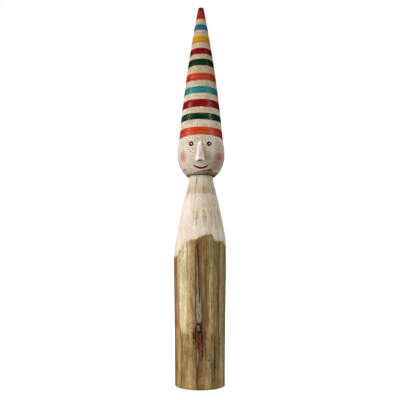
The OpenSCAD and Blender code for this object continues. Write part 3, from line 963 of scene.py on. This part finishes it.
def makeHeadWood():
    made, place = newMaterial("headWood")
    look = headWood
    x, y, z = split(place)
    colour = bareWood(place, look["light"], look["deep"], 430.0, 100.0, 0.6)[0]

    # growth rings cut across by the turning, and brush marks of a thin wash
    uneven = fuzz(place, 26.0, 3.0)
    rings = (z * 1900.0 + uneven * 55.0).maths("SINE")
    colour = blend(ramped(rings, 0.3, 1.0, 0.0, 0.32), colour, look["ring"])
    wash = grain(place, 70.0, 420.0, 4.0, 0.4, 0.7)
    colour = blend(wash * 0.22, colour, look["wash"])
    colour = stained(colour, place, headStainsAndNoseShadow, onHead, 0.75, 0.45, 210.0)

    # where the turning cut the growth rings across, they show as arcs on the cheeks
    for at, up, period, strength in look["arcs"]:
        away = vectorMaths("LENGTH", vectorMaths("SUBTRACT", place, tuple(onHead(at, up))), out="Value")
        arc = (away * (2 * math.pi / (period * mm)) + uneven * 9.0).maths("SINE")
        beside = ramped(uneven * 0.012 + away, 0.014, 0.026, 1.0, 0.0)
        colour = blend(ramped(arc, 0.0, 1.0) * beside * strength, colour, look["arc"])

    # a dirty stain that climbs the chin to its own height at each turn
    turn = turnShare(x, y)
    blot = fuzz(place, 190.0, 5.0)
    scale = look["stainScale"]
    limit = ramp(turn, [(at, high / scale) for at, high in look["stainHeights"]]) + (blot - 0.5) * 0.1
    below = limit - (z - headLow * mm) * (1 / (scale * mm))
    fullness = ramp(turn, look["stainFill"])
    patchy = ramped(blot, 0.4, 0.58, 0.55, 1.0) * fullness
    colour = blend(ramped(below, -0.03, 0.03) * patchy, colour, look["stain"])
    line = band(below, -0.03, 0.02, 0.05, 0.13) * ramped(fullness, 0.2, 0.85, 0.25, 1.0)
    colour = blend(line * 0.85, colour, look["stainLine"])

    # pimples: pale tops in a darker wash, thickest round the eyes
    pimples = fuzz(place, 620.0, 2.0)
    thick = spot(place, onHead(0, 42), (52, 45, 22), 0.7, 0.5, 120.0) * 0.9 + 0.2
    colour = blend(ramped(pimples, 0.54, 0.64) * thick * 0.8, colour, look["pimple"])
    colour = blend(ramped(pimples, 0.36, 0.46, 1.0, 0.0) * thick * 0.5, colour, look["pit"])

    # cheeks: colour rubbed in, strongest low down
    for cheek, push, fuller in (("left_cheek", 1.5, 1.12), ("right_cheek", 0.5, 0.88)):
        middle = sum(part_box(cheek), Vector()) / 2
        at, up = frontTurn(middle.x, middle.y) + push, middle.z / mm - headLow
        for shift, reach, strength in ((0.5, (13, 13, 14), 0.48), (-1, (9.5, 9.5, 11), 0.42)):
            wide = [part * fuller ** 0.6 for part in reach]
            mask = spot(place, onHead(at, up + shift), wide, 0.85, 0.35, 150.0)
            colour = blend(mask * (strength * fuller), colour, look["blush"])

    # grime and painted shade in the joint at the foot and under the brim
    low = ramped(blot * -0.0016 + z, headLow * mm - 0.0006, headLow * mm + 0.0018, 0.8, 0.0)
    colour = blend(low, colour, look["footGrimeAndShade"])
    colour = blend(ramped(z, brimLow * mm - 0.0012, brimLow * mm, 0.0, 0.2), colour, look["brimGrimeAndShade"])
    return finishMaterial(made, colour, wash * -0.12 + 0.56, pimples * thick + wash * 0.3, 0.5, 0.0004,
                          specular=0.3)


headPiece = makeHead(makeHeadWood())
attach(headPiece, "root")
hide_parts("head", "left_cheek", "right_cheek")


hatForm = {
    "brimRadius": 34.3,
    "tipRadius": 4.2,
    "belly": 2.8,
    "checkHeight": 485,      # middle of the short drying check
    "checkHalf": 4.5,        # half its height
    "sides": 240,
    "ringGap": 1.5,
}


def hatRadius(z):
    share = (z - brimLow) / (hatTop - brimLow)
    return bellied(hatForm["brimRadius"], hatForm["tipRadius"], hatForm["belly"], share)


def hatSurface(turn, z):
    # the whittled and sanded cone is not quite round
    radius = hatRadius(z)
    x, y = around(turn, radius)
    return radius + 0.22 * rough(x, y, z, 14, 60, 30) + 0.06 * rough(x, y, z, 3, 22, 31)


def hatCheck(turn, z, radius):
    # a short drying check that leans across the grain
    share = (z - hatForm["checkHeight"]) / hatForm["checkHalf"]
    if abs(share) >= 1:
        return 0
    away = abs(arcFrom(turn, -4 + 9 * share, radius))
    return (1 - ease(away, 0.15, 0.75)) * (1 - share * share)


def placeOnHat(x, y, z):
    radius = math.hypot(x, y)
    if radius < 8 and z < 420 or z < brimLow + 0.01 or radius < 0.01:
        return x, y, z, 0
    turn = frontTurn(x, y)
    check = hatCheck(turn, z, radius)
    away = (hatSurface(turn, z) - 0.9 * check) / hatRadius(z) if z < hatTop - 0.6 else 1
    return x * away, y * away, z, check


def makeHat(material):
    bore, depth = logForm["boreRadius"], logForm["boreDepth"]
    outline = [(0, brimLow + depth), (bore, brimLow + depth), (bore, brimLow), (20, brimLow),
               (hatForm["brimRadius"] - 0.5, brimLow)]
    outline += [(hatRadius(z), z) for z in steps(brimLow + 0.5, hatTop - 0.8, hatForm["ringGap"])]
    outline += [(hatForm["tipRadius"] - 0.5, hatTop - 0.1), (2, hatTop), (0, hatTop)]
    bm = turned(outline, hatForm["sides"])
    sculpt(bm, placeOnHat, ("check",))
    return finishMesh(bm, "woodenHat", material)


hatWood = {
    "light": "f6ead3",
    "deep": "b69e76",
    "ring": "9c7a4c",
    "speck": "8a7048",
    "wash": "ecdfc8",
    "blotch": "b9996c",
    "upper": "b09a74",       # dirtier towards the tip
    # painted shade on the side away from the key light
    "side": "97794a",
    "check": "5f4a33",
}

# marks on the bare hat: turn, height, reach across and up, colour, strength
hatStains = [
    (-22, 467, 3.4, 1.8, "5d4a3a", 0.85),
    (18, 478, 7, 4, "b79a72", 0.5),
    (-30, 400, 8, 5, "c9ac80", 0.5),
    (22, 396, 12, 6, "f6ecd8", 0.7),
    (12, 422, 7, 5, "c2a57c", 0.5),
    (-12, 510, 5, 4, "bb9c70", 0.5),
    (20, 552, 4, 4, "a88c62", 0.55),
    (140, 445, 9, 5, "b99b6d", 0.5),
    (-120, 490, 8, 5, "b59566", 0.5),
]


def onHat(turn, z):
    return Vector((*around(turn, hatRadius(z)), z)) * mm


def makeHatWood():
    made, place = newMaterial("hatWood")
    look = hatWood
    colour, roughness, height = bareWood(place, look["light"], look["deep"], 420.0, 90.0, 0.6)
    z = split(place)[2]
    uneven = fuzz(place, 34.0, 3.0)
    rings = (z * 1300.0 + uneven * 60.0).maths("SINE")
    colour = blend(ramped(rings, 0.1, 1.0, 0.0, 0.34), colour, look["ring"])
    colour = blend(ramped(fuzz(place, 420.0, 3.0), 0.58, 0.7, 0.0, 0.42), colour, look["speck"])
    wash = grain(place, 60.0, 500.0, 4.0, 0.42, 0.7)
    colour = blend(wash * 0.25, colour, look["wash"])
    colour = blend(grain(place, 80.0, 190.0, 4.0, 0.4, 0.66) * 0.42, colour, look["blotch"])
    colour = blend(ramped(uneven * 0.03 + z, 0.455, 0.5, 0.0, 0.62), colour, look["upper"])
    # painted shade: above 0.43 m the hat is darker on the side away from the key light
    side = ramped(towards(place, 85), 0.6, 1.0) * ramped(z, 0.4, 0.43)
    colour = blend(side * 0.5, colour, look["side"])
    colour = stained(colour, place, hatStains, onHat, 0.7, 0.5, 300.0)
    colour = blend(attribute(place, "check") * 0.8, colour, look["check"])
    return finishMaterial(made, colour, roughness, height + wash, 0.35, 0.0003, specular=0.3)


hatPiece = makeHat(makeHatWood())
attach(hatPiece, "root")
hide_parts("hat")


stripeForm = {
    "coat": 0.26,            # thickness of the paint
    "edgeCoat": 0.05,        # at its feathered edges
    "sunk": 0.3,             # how deep its back lies in the wood
    "rings": 13,
    "wave": 0.5,             # how far an edge wanders up and down
    "runs": {3: 1.1, 4: 0.7, 5: 0.5},    # how far a stripe's paint ran below its lower line
    "dip": 2.2,              # how much lower the brim's paint reaches at both sides
    "sides": 240,
}

# colours of each paint: as laid on, where it is thin, where it lies thick (also used for painted shade); and
# how rough it dried
paints = {
    "orange": ("f0420f", "f6622a", "8c1804", 0.29),
    "green": ("123c1e", "266232", "020a05", 0.21),
    "crimson": ("a80205", "c0080a", "500001", 0.22),
    "teal": ("2f9494", "4fa8a4", "14605e", 0.27),
    "yellow": ("efa404", "f4b41c", "bc7804", 0.25),
    "blue": ("2089a4", "3c96b0", "0d5068", 0.25),
}
tipWear = ("5a1606", "33190f")    # near the tip, and at it
# from the brim to the tip
stripePaints = ["orange", "green", "crimson", "teal", "orange", "green", "crimson", "yellow", "blue",
                "orange"]


def makePaint(name):
    made, place = newMaterial(name + "Paint")
    paint, thin, deep, gloss = paints[name]
    colour, roughness, height = useGroup(paintGroup, place, ("Color", "Roughness", "Height"), Paint=paint,
                                         Thin=thin, Deep=deep, Streaks=0.95, Gloss=gloss)
    z = split(place)[2]
    # grimy where it is handled, worn and dark at the tip; painted shade on the side away from the light
    colour = blend(ramped(z, 0.41, (hatTop - 18) * mm, 0.0, 0.55, "LINEAR"), colour, deep)
    # painted shade: the side turned away from the key light darkens towards the deep paint
    colour = blend(ramped(towards(place, 85), 0.5, 1.0, 0.0, 0.65), colour, deep)
    colour = blend(ramped(z, (hatTop - 20) * mm, (hatTop - 6) * mm, 0.0, 0.4), colour, tipWear[0])
    worn = ramped(fuzz(place, 330.0, 3.0) * 0.006 + z, (hatTop - 7) * mm, (hatTop + 2) * mm)
    colour = blend(worn * 0.75, colour, tipWear[1])
    # the wood grins through at the feathered edges
    colour = blend(attribute(place, "edge") * 0.4, colour, thin)
    return finishMaterial(made, colour, roughness, height, 0.35, 0.00035)


def makeStripe(number, material):
    form = stripeForm
    low, high = [corner.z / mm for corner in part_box("hat_stripe_%02d" % number)]
    low -= form["runs"].get(number, 0)
    top, tip = hatTop, hatForm["tipRadius"]
    capped = high > top
    if capped:
        high = top
    levels = [mix(low, high, i / form["rings"]) for i in range(form["rings"] + 1)]
    # the outer side starts well outside, so that place can tell it from the inner one
    inner = [(hatRadius(level) - form["sunk"], level) for level in levels]
    outer = [(hatRadius(level) + 5, level) for level in levels]

    def place(x, y, z):
        radius = math.hypot(x, y)
        if radius < 0.01 or z > top + 0.02:
            return x, y, z, 0
        turn = frontTurn(x, y)
        share = (z - low) / (high - low)
        side, front = around(turn, 1)
        way = Vector((side, -front, number * 3.7))
        wander = [form["wave"] * (noise.noise(way * 1.3 + Vector((k * 9, 0, 0)))
                                  + 0.45 * noise.noise(way * 6 + Vector((k * 9, 4, 0)))) for k in (0, 1)]
        if number == 1:
            wander[0] = -form["dip"] * side ** 2
        if capped:
            wander[1] = 0
        level = z + mix(*wander, share)
        ends = min(share, 1 if capped else 1 - share) * form["rings"]
        coat = mix(form["edgeCoat"], form["coat"], ease(ends, 0, 1.6))
        away = hatSurface(turn, level) + (coat if radius > hatRadius(z) + 1 else -form["sunk"])
        if capped and share > 0.99:
            away = min(away, tip + 0.1)
        return x / radius * away, y / radius * away, level, 1 - ease(ends, 0, 1.8)

    if capped:
        cap = [(tip - 0.5, top + 0.14), (tip - 1.4, top + 0.25), (0, top + 0.3)]
        bm = turned([(0, top - 0.05), (2, top - 0.05)] + inner[-2::-1] + outer + cap, form["sides"])
    else:
        bm = turned(inner[::-1] + outer, form["sides"], closed=True)
    sculpt(bm, place, ("edge",))
    return finishMesh(bm, "paintedStripe%02d" % number, material)


paintMaterials = {name: makePaint(name) for name in paints}
for number, name in enumerate(stripePaints, 1):
    stripe = makeStripe(number, paintMaterials[name])
    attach(stripe, "root")
    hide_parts("hat_stripe_%02d" % number)


noseForm = {
    "low": 18,               # of its lower end above the head's foot
    "height": 30,
    "width": 15.0,
    "topWidth": 6.0,
    "reach": 9.5,            # stands out this far below
    "topReach": 1.8,
    "inlet": 2.4,            # its flat back is let into the head
    "gouge": 1.1,            # height of the hollow under its lower end
    "gougeShare": 0.52,      # share of the width that it takes
    "cuts": 30,
    "sharpness": 12,         # how crisp the knife's facets are
    # directions that the knife's facets face, from the front towards +X
    "facets": [-90, -72, -44, -5, 8, 41, 74, 90],
}


def placeOnNose(x, y, z):
    # from a block of -1 to 1 across, 0 at the back to 1 in front, 0 to 1 up
    form, across, deep, up = noseForm, x, y, z
    lowRadius, highRadius = headRadius(form["low"]), headRadius(form["low"] + form["height"])
    width = bellied(form["width"], form["topWidth"], -0.35, up) / 2
    front = bellied(lowRadius + form["reach"], highRadius + form["topReach"], 0.5, up)
    back = min(lowRadius, highRadius) - form["inlet"]
    # the block's square section becomes a round-fronted one
    square = max(abs(across), abs(deep))
    if square > 0.0001 and deep > 0:
        angle, sharp = math.atan2(across, deep), form["sharpness"]
        faces = sum(max(0, math.cos(angle - math.radians(turn + 4 * rough(turn, 0, up, 1, 0.7, 40)))) ** sharp
                    for turn in form["facets"])
        reach = square / faces ** (1 / sharp)
        across, deep = math.sin(angle) * reach, math.cos(angle) * reach
    across = min(max(across, -1), 1)
    nose = form["width"] / 2 * mix(1, 0.42, up)
    newX = across * width
    newY = -(front - nose + deep * nose) if deep > 0 else -mix(front - nose, back, -deep)
    # soften the arris at both ends and hollow the lower one
    rim = ease(square, 0.55, 1) * (0.5 * (1 - ease(up, 0, 0.03)) + 0.7 * ease(up, 0.965, 1))
    newX *= 1 - rim / 7
    newY += rim * (1 if deep > 0 else 0)
    arch = form["gouge"] * max(0, 1 - (newX / width / form["gougeShare"]) ** 2) * (1 - ease(up, 0, 0.3))
    level = headLow + form["low"] + up * form["height"] + arch
    level += 0.35 * rough(newX, newY, 0, 3, 3, 41) * (1 - ease(up, 0, 0.1))
    newX += 0.1 * rough(newX, newY, level, 2.5, 14, 42)
    return faced(newX, newY, level)


def makeNose(material):
    bm = bmesh.new()
    bmesh.ops.create_cube(bm, size=2)
    bmesh.ops.subdivide_edges(bm, edges=bm.edges, cuts=noseForm["cuts"], use_grid_fill=True)
    bmesh.ops.scale(bm, vec=(1, 1, 0.5), verts=bm.verts)
    bmesh.ops.translate(bm, vec=(0, 0, 0.5), verts=bm.verts)
    bmesh.ops.scale(bm, vec=(mm, mm, mm), verts=bm.verts)
    sculpt(bm, placeOnNose)
    return finishMesh(bm, "whittledNose", material)


noseWood = {
    "light": "fdf4ee",
    "deep": "f0dfd3",
    "pink": "d86c80",
    # painted shade under the nose
    "hollow": "2e2412",
}


def makeNoseWood():
    made, place = newMaterial("noseWood")
    form, look = noseForm, noseWood
    colour, roughness, height = bareWood(place, look["light"], look["deep"], 700.0, 260.0, 0.6)
    x, z = split(place)[::2]
    # a dry brush of pink down the ridge, fuller below
    drag = grain(place, 900.0, 120.0, 3.0, 0.38, 0.6)
    ridge = around(headForm["faceTurn"], headForm["radius"] + form["reach"] / 2)[0] * mm
    off = abs(x - (ridge + 0.0004))
    low, high = [(headLow + form["low"] + up) * mm for up in (0, form["height"])]
    ends = band(z, low + 0.001, low + 0.006, high - 0.013, high - 0.004)
    brushed = ramped(off, 0.001, 0.0038, 1.0, 0.0) * ends * (drag * 0.72 + 0.28)
    full = ramped(z, low + 0.008, low + 0.017, 0.95, 0.62)
    colour = blend(brushed * full, colour, look["pink"])
    # painted shade on the faces that look down, in the hollow under the lower end
    under = split(addNode(place.tree, "NewGeometry", out="Normal"))[2]
    hollow = ramped(off, 0.0022, 0.0042, 1.0, 0.15)
    colour = blend(ramped(under, -0.4, -0.75, 0.0, 0.95) * hollow, colour, look["hollow"])
    return finishMaterial(made, colour, roughness, height, 0.3, 0.0002)


nosePiece = makeNose(makeNoseWood())
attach(nosePiece, "root")
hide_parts("nose")


faceForm = {
    "eyeHeight": 45.6,
    "eyeGap": 27.8,
    "eyeWidth": 7.2,
    "glintWidth": 2.7,
    "mouthHeight": 13.6,     # of the mouth's corners
    "mouthWidth": 22.4,
    "mouthShift": 1.2,
    "smileDrop": 4.6,
    "stroke": 3.1,
    "coat": 0.28,
    # two tones of each paint
    "black": ("020202", "0d0e10"),
    "white": ("f2f5fb", "c3cbdc"),
    "red": ("700208", "901216"),
    "bloom": "777f95",
}


def onFace(across, up, out):
    # a place on the face: millimetres across and up it, and out from the wood
    radius = headRadius(up) + out
    return faced(across, -math.sqrt(radius * radius - across * across), headLow + up)


def makeDab(name, material, across, up, width, height, coat, under, wobble, seed):
    # a round touch of the brush, thickest just inside its edge
    dome = [(0, -1), (0.5, -1), (0.96, -1), (1, -0.4), (0.97, 0.5), (0.86, 1), (0.68, 0.96), (0.45, 0.8),
            (0.2, 0.72), (0, 0.7)]
    bm = turned(dome, 56)

    def place(x, y, z):
        turn = math.atan2(y, x)
        swell = 1 + wobble * noise.noise(Vector((math.cos(turn) * 1.6, math.sin(turn) * 1.6, seed)))
        out = under + (coat if z > 0 else 0.14) * z
        return onFace(across + x * swell * width / 2, up + y * swell * height / 2, out)

    sculpt(bm, place)
    return finishMesh(bm, name, material)


def makeMouth(material):
    # one stroke of the brush: a spindle laid along the smile
    form = faceForm
    bm = turned([(math.sqrt(max(0, 1 - abs(z) ** 5)), z) for z in steps(-1, 1, 1 / 28)], 20)
    half, drop = form["mouthWidth"] / 2, form["smileDrop"]
    radius = (half * half + drop * drop) / (2 * drop)
    reach = math.asin(half / radius)

    def place(x, y, z):
        angle = z * reach
        stroke = form["stroke"] / 2 * (0.92 + 0.2 * rough(0, 0, z, 1, 0.3, 50) - 0.12 * z * z)
        lift = x * stroke + 0.25 * rough(3, 0, z, 1, 0.4, 51)
        across = form["mouthShift"] + math.sin(angle) * (radius - lift)
        up = form["mouthHeight"] - drop + radius - math.cos(angle) * (radius - lift)
        return onFace(across, up, form["coat"] * max(y, -0.5) * (1 if y > 0 else 0.4))

    sculpt(bm, place)
    return finishMesh(bm, "smilingMouth", material)


def makeEyeBlack():
    made, place = newMaterial("eyeBlack")
    cloud = fuzz(place, 1400.0, 3.0)
    colour = blend(ramped(cloud, 0.4, 0.7), *faceForm["black"])
    # a grey bloom round the glint
    for side in (-1, 1):
        centre = Vector(onFace(side * faceForm["eyeGap"] / 2 + 0.1, faceForm["eyeHeight"] - 0.1, 0)) * mm
        mask = spot(place, centre, (1.5, 1.5, 1.5), 0.8, 0.4, 900.0)
        colour = blend(mask * 0.08, colour, faceForm["bloom"])
    return finishMaterial(made, colour, cloud * 0.3 + 0.35, cloud, 0.3, 0.0002, specular=0.2)


def makeFacePaint(name, tones, scale, strength):
    made, place = newMaterial(name)
    cloud = fuzz(place, scale, 3.0)
    colour = blend(ramped(cloud, 0.35, 0.7), *tones)
    return finishMaterial(made, colour, cloud * 0.3 + 0.25, cloud, strength, 0.0002)


def makeEyes():
    # gives the two glints; each sits a little off its eye's middle
    form = faceForm
    eyeBlack, glintWhite = makeEyeBlack(), makeFacePaint("glintWhite", form["white"], 1300.0, 0.3)
    glints = []
    for side, name, right, up in ((1, "left_eye", 0.35, -0.35), (-1, "right_eye", 0.1, 0.1)):
        across, label = side * form["eyeGap"] / 2, name.split("_")[0]
        eye = makeDab(label + "Eye", eyeBlack, across, form["eyeHeight"], form["eyeWidth"],
                      form["eyeWidth"] * 1.03, form["coat"], 0, 0.1, side * 2.5)
        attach(eye, "root")
        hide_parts(name)
        glint = makeDab(label + "Glint", glintWhite, across + right, form["eyeHeight"] + up,
                        form["glintWidth"] * 0.8, form["glintWidth"] * 0.85, 0.16, form["coat"] * 0.75, 0.35,
                        side * 4.5)
        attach(glint, "root")
        glints.append(glint)
    return glints


glints = makeEyes()
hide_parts("eye_glints")

mouthPiece = makeMouth(makeFacePaint("mouthRed", faceForm["red"], 700.0, 0.4))
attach(mouthPiece, "root")
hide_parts("mouth")


# The hidden dowels keep their own meshes
dowelLook = {"light": "d9b27c", "deep": "a97c48"}


def makeDowelWood():
    made, place = newMaterial("dowelWood")
    wood = bareWood(place, dowelLook["light"], dowelLook["deep"], 900.0, 300.0, 0.8)
    return finishMaterial(made, *wood, 0.3, 0.0002)


dowelWood = makeDowelWood()
for name in ("neck_dowel", "hat_dowel"):
    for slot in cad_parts[name].material_slots:
        slot.material = dowelWood
print("pieces made")


studio = {
    "floorRadius": 5.0,
    "backdrop": 1.0,
    "ambient": 0.42,         # light from all round on matt surfaces
    "reflected": 0.02,       # what gloss sees of the room
    # area lights: turn from the front towards +X, height, distance, width, height, power
    "key": (-60, 0.6, 1.7, 0.8, 1.3, 18.5),
    "leftStrip": (-72, 0.5, 1.6, 0.22, 1.3, 8.5),
    "rightStrip": (54, 0.5, 1.6, 0.15, 1.3, 7.5),
    "sun": 2.6,
    "sunSpread": 50,         # degrees; softens the shadows
    "lens": 45.72,
    "cameraPlace": (-0.0017, -0.7922, 0.1801),
    "cameraTilt": 7.18,
}


def addLight(name, turn, height, distance, width, tall, power):
    data = bpy.data.lights.new(name, "AREA")
    data.shape = "RECTANGLE"
    data.size, data.size_y = width, tall
    data.energy = power
    light = addObject(name, data)
    light.location = (*around(turn, distance), height)
    light.rotation_euler = (Vector((0, 0, 0.3)) - light.location).to_track_quat("-Z", "Y").to_euler()
    light.visible_camera = False
    return light


def makeFloor():
    bm = bmesh.new()
    bmesh.ops.create_circle(bm, cap_ends=True, segments=96, radius=studio["floorRadius"])
    mesh = bpy.data.meshes.new("studioFloor")
    bm.to_mesh(mesh)
    bm.free()
    floor = addObject("studioFloor", mesh)
    paper, place = newMaterial("studioPaper")
    shader = paper.node_tree.nodes["Principled BSDF"]
    tone = ramped(fuzz(place, 40.0, 2.0), 0.3, 0.7, 0.95, 0.97)
    paper.node_tree.links.new(tone.socket, shader.inputs["Base Color"])
    shader.inputs["Roughness"].default_value = 0.9
    shader.inputs["Emission Color"].default_value = (1, 1, 1, 1)
    shader.inputs["Emission Strength"].default_value = 0.2
    mesh.materials.append(paper)
    floor.visible_diffuse = floor.visible_glossy = False


def makeWorld():
    world = bpy.data.worlds.new("studio")
    bpy.context.scene.world = world
    world.use_nodes = True
    tree = world.node_tree
    back = tree.nodes["Background"]
    glossy, seen = addNode(tree, "LightPath", out=("Is Glossy Ray", "Is Camera Ray"))
    strength = addNode(tree, "MapRange", {"Value": glossy, "To Min": studio["ambient"],
                                          "To Max": studio["reflected"]})
    strength = addNode(tree, "MapRange", {"Value": seen, "To Min": strength, "To Max": studio["backdrop"]})
    back.inputs["Color"].default_value = (1, 1, 1, 1)
    tree.links.new(strength.socket, back.inputs["Strength"])


def makeLights():
    addLight("key", *studio["key"]).visible_glossy = False
    for name in ("leftStrip", "rightStrip"):
        addLight(name, *studio[name]).visible_diffuse = False    # only their reflections show
    data = bpy.data.lights.new("sun", "SUN")
    data.energy = studio["sun"]
    data.angle = math.radians(studio["sunSpread"])
    addObject("sun", data).visible_glossy = False


def makeCamera():
    data = bpy.data.cameras.new("camera")
    data.lens = studio["lens"]
    data.sensor_width = 36
    camera = addObject("camera", data)
    camera.location = studio["cameraPlace"]
    camera.rotation_euler = (math.radians(90 + studio["cameraTilt"]), 0, 0)
    bpy.context.scene.camera = camera
    bpy.context.scene.view_settings.view_transform = "Standard"


makeFloor()
makeWorld()
makeLights()
makeCamera()
print("studio made")
